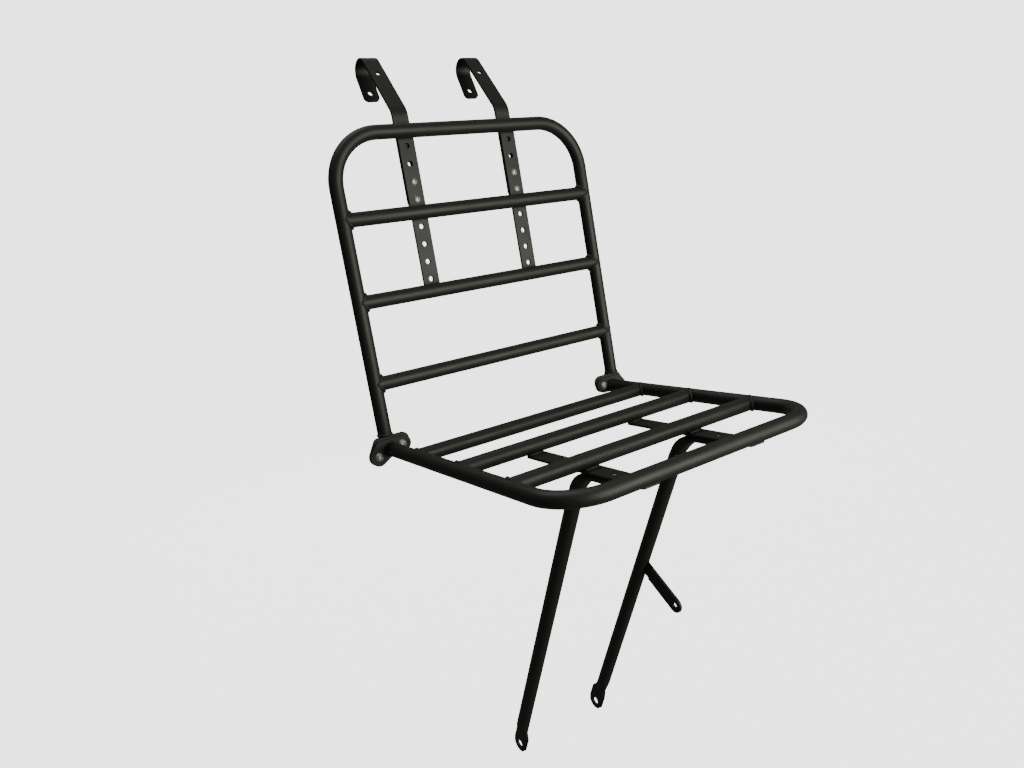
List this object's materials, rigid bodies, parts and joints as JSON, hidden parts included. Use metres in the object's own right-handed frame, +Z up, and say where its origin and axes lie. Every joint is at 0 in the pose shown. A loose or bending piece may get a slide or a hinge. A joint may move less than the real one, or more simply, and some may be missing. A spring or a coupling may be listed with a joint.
{
  "type": "bicycle front luggage rack",
  "caption": "Front luggage rack of bent steel tube: slatted platform on axle struts, with a backrest that hooks over the handlebar and folds rearward.",
  "frame": {"origin": "midway between the two axle eyes, on their common axis", "axes": "+X to the rider's left, across the bicycle; -Y forward, along the platform; +Z up"},
  "size_m": [0.3777, 0.4322, 0.8583],
  "materials": {
    "black_powder_coat": "satin powder coat",
    "zinc_plated_steel": "bright zinc plate"
  },
  "bodies": {
    "platform": {"platform_tube": "black_powder_coat", "platform_bar_rear": "black_powder_coat", "platform_bar_middle": "black_powder_coat", "platform_bar_front": "black_powder_coat", "strut_plate_left": "black_powder_coat", "strut_plate_right": "black_powder_coat", "strut_left": "black_powder_coat", "strut_right": "black_powder_coat", "strut_screws": "zinc_plated_steel", "strut_washers": "zinc_plated_steel", "lamp_stay": "black_powder_coat", "hinge_flange_left": "black_powder_coat", "hinge_flange_right": "black_powder_coat", "hinge_leaf_left": "black_powder_coat", "hinge_leaf_right": "black_powder_coat", "hinge_bolts": "zinc_plated_steel", "hinge_washers": "zinc_plated_steel", "hinge_nuts": "zinc_plated_steel", "hinge_pins": "zinc_plated_steel"},
    "backrest": {"backrest_tube": "black_powder_coat", "backrest_bar_lower": "black_powder_coat", "backrest_bar_middle": "black_powder_coat", "backrest_bar_upper": "black_powder_coat", "hook_rail_left": "black_powder_coat", "hook_rail_right": "black_powder_coat", "handlebar_hook_left": "black_powder_coat", "handlebar_hook_right": "black_powder_coat", "hook_bolts": "zinc_plated_steel", "hook_washers": "zinc_plated_steel", "hook_nuts": "zinc_plated_steel", "hinge_foot_left": "black_powder_coat", "hinge_foot_right": "black_powder_coat"}
  },
  "joints": [
    {"name": "backrest_fold", "type": "hinge", "parent": "platform", "child": "backrest", "pos_m": [0, 0.0238, 0.419], "axis": [-1, 0, 0], "range_deg": [0, 86.6]}
  ]
}
